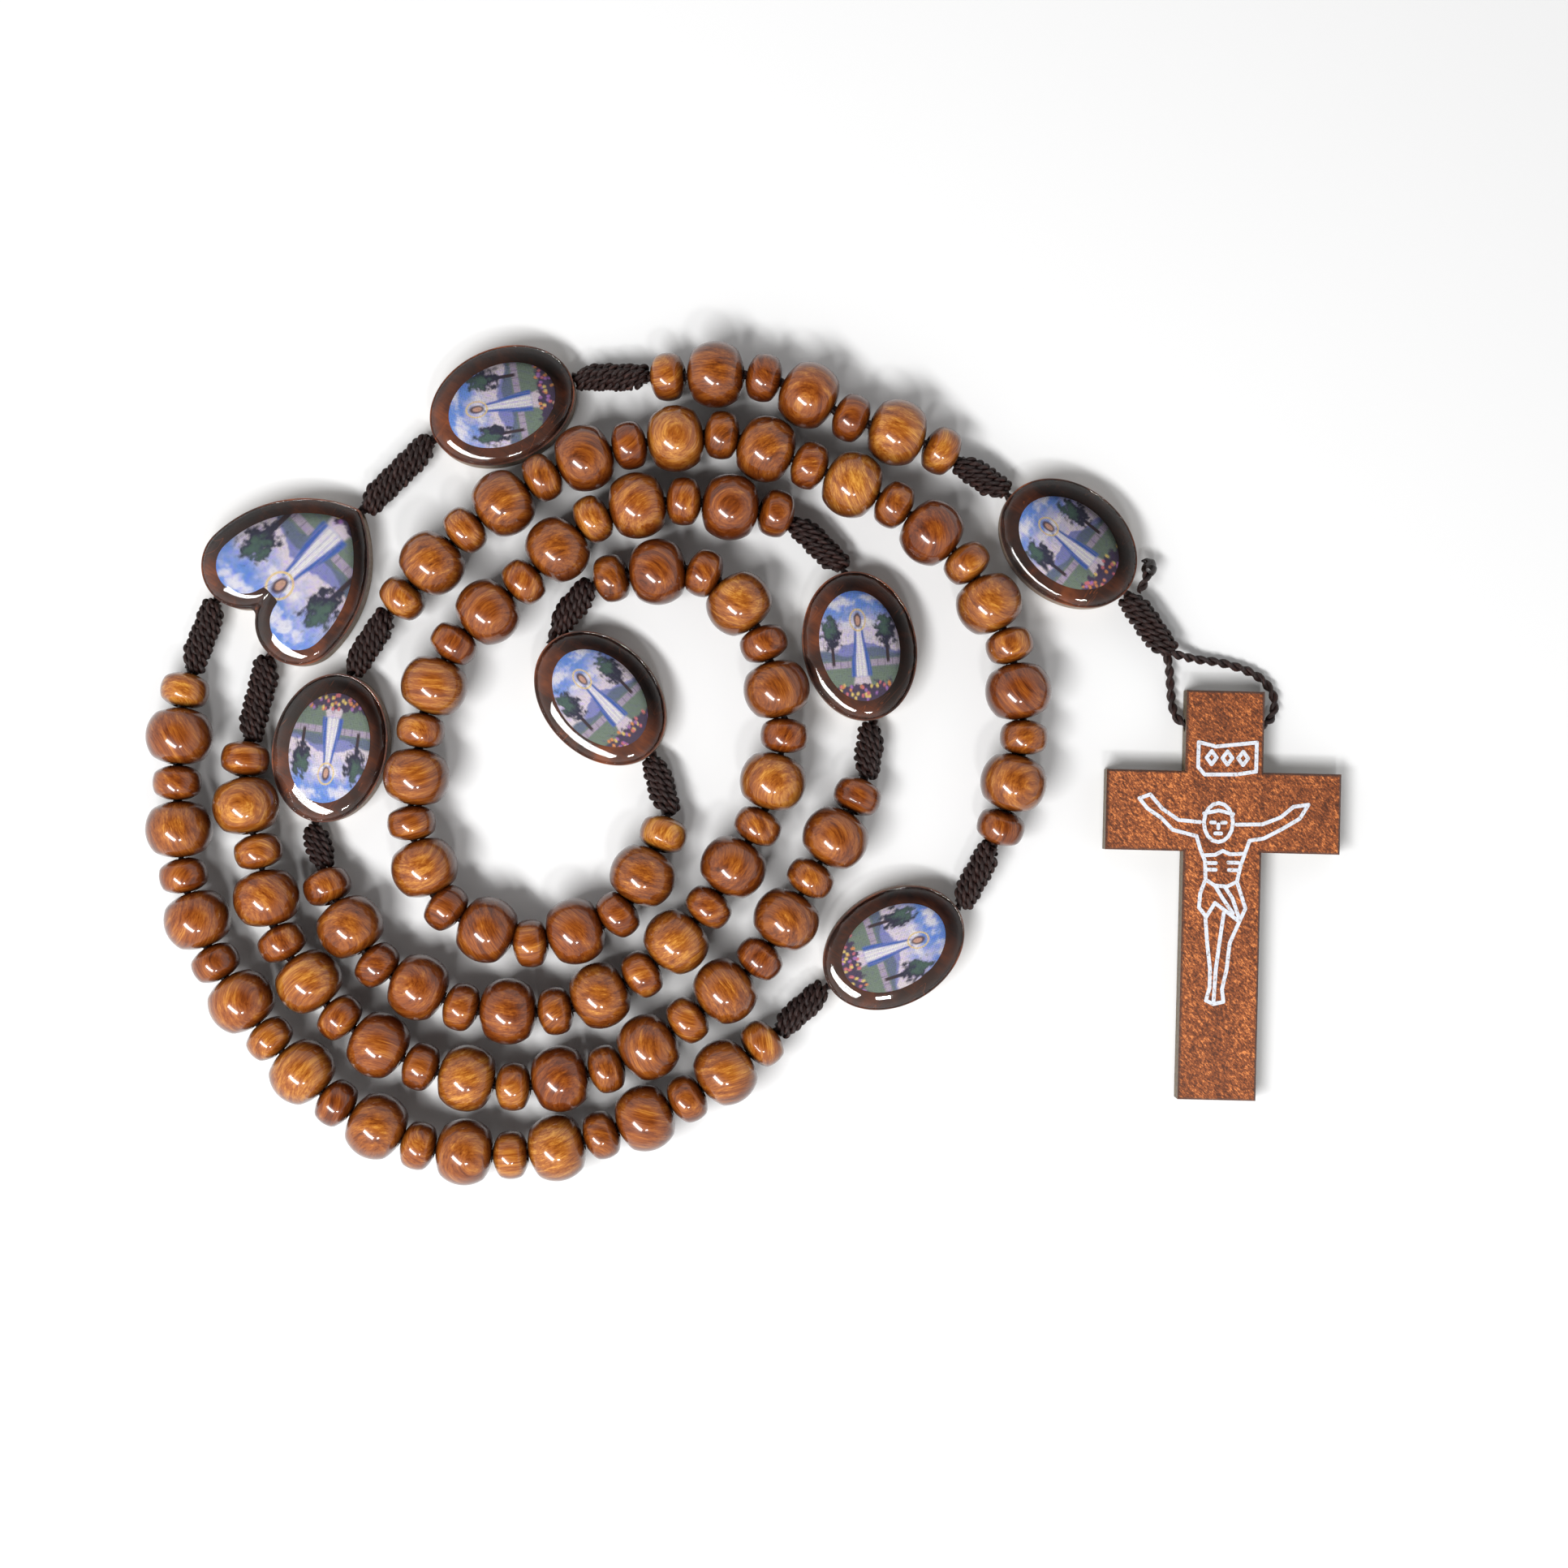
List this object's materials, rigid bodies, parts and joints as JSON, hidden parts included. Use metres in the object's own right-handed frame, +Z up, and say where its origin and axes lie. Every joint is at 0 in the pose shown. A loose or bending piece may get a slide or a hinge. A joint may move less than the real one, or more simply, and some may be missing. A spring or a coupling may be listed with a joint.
{
  "type": "rosary",
  "caption": "Five-decade wooden rosary laid out flat, with a heart medal, oval picture medals under clear resin, wound knots and a flat wooden cross on a dark cord.",
  "frame": {"origin": "on the table under the middle of the rosary's outline", "axes": "+X to the cross's side, along the longest extent; +Y away from the viewer, so the heart's pendant is at +Y; +Z up from the table"},
  "size_m": [0.144, 0.1015, 0.008],
  "materials": {
    "bead_wood": "glossy clear lacquer over amber-brown turned wood",
    "medal_wood": "dark brown wood, cut sides raw, face under resin",
    "cross_wood": "satin copper-brown wood with short flecks",
    "picture_print": "printed picture with a fine canvas weave",
    "clear_resin": "clear glossy poured resin",
    "cord": "dark brown two-ply waxed cord",
    "knot_cord": "the same cord wound tightly",
    "white_print": "thin pale print with slightly rough edges"
  },
  "bodies": {
    "root": {"heart_wood": "medal_wood", "heart_picture": "picture_print", "heart_resin": "clear_resin", "medal_cords": "cord"},
    "decade_1": {"decade_1_cord": "cord", "decade_1_small_beads": "bead_wood", "decade_1_large_beads": "bead_wood", "decade_1_knots": "knot_cord"},
    "decade_2": {"decade_2_cord": "cord", "decade_2_small_beads": "bead_wood", "decade_2_large_beads": "bead_wood", "decade_2_knots": "knot_cord"},
    "decade_3": {"decade_3_cord": "cord", "decade_3_small_beads": "bead_wood", "decade_3_large_beads": "bead_wood", "decade_3_knots": "knot_cord"},
    "decade_4": {"decade_4_cord": "cord", "decade_4_small_beads": "bead_wood", "decade_4_large_beads": "bead_wood", "decade_4_knots": "knot_cord"},
    "decade_5": {"decade_5_cord": "cord", "decade_5_small_beads": "bead_wood", "decade_5_large_beads": "bead_wood", "decade_5_knots": "knot_cord"},
    "oval_1": {"oval_1_wood": "medal_wood", "oval_1_picture": "picture_print", "oval_1_resin": "clear_resin"},
    "oval_2": {"oval_2_wood": "medal_wood", "oval_2_picture": "picture_print", "oval_2_resin": "clear_resin"},
    "oval_3": {"oval_3_wood": "medal_wood", "oval_3_picture": "picture_print", "oval_3_resin": "clear_resin"},
    "oval_4": {"oval_4_wood": "medal_wood", "oval_4_picture": "picture_print", "oval_4_resin": "clear_resin"},
    "pendant_top": {"upper_medal_cord": "cord", "pendant_knot": "knot_cord"},
    "upper_oval": {"upper_oval_wood": "medal_wood", "upper_oval_picture": "picture_print", "upper_oval_resin": "clear_resin"},
    "pendant_row": {"pendant_bead_cord": "cord", "pendant_row_knots": "knot_cord"},
    "pendant_bead_1": {"pendant_bead_1": "bead_wood"},
    "pendant_bead_2": {"pendant_bead_2": "bead_wood"},
    "pendant_bead_3": {"pendant_bead_3": "bead_wood"},
    "pendant_bead_4": {"pendant_bead_4": "bead_wood"},
    "pendant_bead_5": {"pendant_bead_5": "bead_wood"},
    "pendant_bead_6": {"pendant_bead_6": "bead_wood"},
    "pendant_bead_7": {"pendant_bead_7": "bead_wood"},
    "lower_medal": {"lower_medal_cord": "cord"},
    "lower_oval": {"lower_oval_wood": "medal_wood", "lower_oval_picture": "picture_print", "lower_oval_resin": "clear_resin"},
    "cross_cord": {"cross_loop_cord": "cord", "cross_knot": "knot_cord", "cord_tail": "cord"},
    "cross": {"cross_wood": "cross_wood", "cross_print": "white_print"}
  },
  "joints": [
    {"name": "decade_1_lift", "type": "hinge", "parent": "root", "child": "decade_1", "pos_m": [-0.06379, 0.02, 0.0017], "axis": [-0.8444, 0.5357, 0], "range_deg": [0, 8]},
    {"name": "decade_2_lift", "type": "hinge", "parent": "root", "child": "decade_2", "pos_m": [0.02576, -0.01764, 0.0017], "axis": [0.9338, -0.3579, 0], "range_deg": [0, 8]},
    {"name": "decade_3_lift", "type": "hinge", "parent": "root", "child": "decade_3", "pos_m": [-0.05204, -0.00702, 0.0017], "axis": [-0.7988, -0.6016, 0], "range_deg": [0, 5]},
    {"name": "decade_4_lift", "type": "hinge", "parent": "root", "child": "decade_4", "pos_m": [-0.01123, 0.00118, 0.0017], "axis": [0.7317, 0.6817, 0], "range_deg": [0, 3]},
    {"name": "decade_5_lift", "type": "hinge", "parent": "root", "child": "decade_5", "pos_m": [0.01563, 0.00522, 0.0017], "axis": [-0.9939, 0.1105, 0], "range_deg": [0, 5]},
    {"name": "oval_1_turn", "type": "hinge", "parent": "root", "child": "oval_1", "pos_m": [0.018, -0.0223, 0.0017], "axis": [0.8572, 0.515, 0], "range_deg": [-45, 45]},
    {"name": "oval_2_turn", "type": "hinge", "parent": "root", "child": "oval_2", "pos_m": [-0.05, 0.0018, 0.0017], "axis": [0.225, 0.9744, 0], "range_deg": [-45, 45]},
    {"name": "oval_3_turn", "type": "hinge", "parent": "root", "child": "oval_3", "pos_m": [-0.0174, 0.0078, 0.0017], "axis": [0.682, -0.7314, 0], "range_deg": [-25, 25]},
    {"name": "oval_4_turn", "type": "hinge", "parent": "root", "child": "oval_4", "pos_m": [0.0139, 0.0141, 0.0017], "axis": [-0.1908, 0.9816, 0], "range_deg": [-45, 45]},
    {"name": "pendant_swing", "type": "hinge", "parent": "root", "child": "pendant_top", "pos_m": [-0.04638, 0.03051, 0.0017], "axis": [0, 0, 1], "range_deg": [0, 20]},
    {"name": "upper_oval_turn", "type": "hinge", "parent": "pendant_top", "child": "upper_oval", "pos_m": [-0.0292, 0.0431, 0.0017], "axis": [0.9135, 0.4067, 0], "range_deg": [-45, 45]},
    {"name": "row_swing", "type": "hinge", "parent": "pendant_top", "child": "pendant_row", "pos_m": [-0.02093, 0.04678, 0.0017], "axis": [0, 0, 1], "range_deg": [0, 20]},
    {"name": "pendant_bead_1_spin", "type": "hinge", "parent": "pendant_row", "child": "pendant_bead_1", "pos_m": [-0.0092, 0.04656, 0.0031], "axis": [0.9877, 0.0187, 0.1555], "continuous": true},
    {"name": "pendant_bead_2_spin", "type": "hinge", "parent": "pendant_row", "child": "pendant_bead_2", "pos_m": [-0.00343, 0.0467, 0.004], "axis": [0.9969, 0.0089, 0.0779], "continuous": true},
    {"name": "pendant_bead_3_spin", "type": "hinge", "parent": "pendant_row", "child": "pendant_bead_3", "pos_m": [0.00234, 0.0463, 0.004], "axis": [0.9772, -0.2123, 0], "continuous": true},
    {"name": "pendant_bead_4_spin", "type": "hinge", "parent": "pendant_row", "child": "pendant_bead_4", "pos_m": [0.00773, 0.0442, 0.004], "axis": [0.888, -0.4599, 0], "continuous": true},
    {"name": "pendant_bead_5_spin", "type": "hinge", "parent": "pendant_row", "child": "pendant_bead_5", "pos_m": [0.01285, 0.04147, 0.004], "axis": [0.9196, -0.3928, 0], "continuous": true},
    {"name": "pendant_bead_6_spin", "type": "hinge", "parent": "pendant_row", "child": "pendant_bead_6", "pos_m": [0.01837, 0.03971, 0.004], "axis": [0.9506, -0.3005, -0.0778], "continuous": true},
    {"name": "pendant_bead_7_spin", "type": "hinge", "parent": "pendant_row", "child": "pendant_bead_7", "pos_m": [0.02373, 0.03762, 0.00307], "axis": [0.8895, -0.4229, -0.1734], "continuous": true},
    {"name": "medal_swing", "type": "hinge", "parent": "pendant_row", "child": "lower_medal", "pos_m": [0.03207, 0.0322, 0.0017], "axis": [0, 0, 1], "range_deg": [0, 20]},
    {"name": "lower_oval_turn", "type": "hinge", "parent": "lower_medal", "child": "lower_oval", "pos_m": [0.0391, 0.0265, 0.0017], "axis": [0.7771, -0.6293, 0], "range_deg": [-6, 45]},
    {"name": "cross_swing", "type": "hinge", "parent": "lower_medal", "child": "cross_cord", "pos_m": [0.04613, 0.02081, 0.0017], "axis": [0, 0, 1], "range_deg": [-8, 8]},
    {"name": "cross_tilt", "type": "hinge", "parent": "cross_cord", "child": "cross", "pos_m": [0.05805, 0.0045, 0.0016], "axis": [-0.9997, 0.0237, 0], "range_deg": [0, 90]}
  ]
}
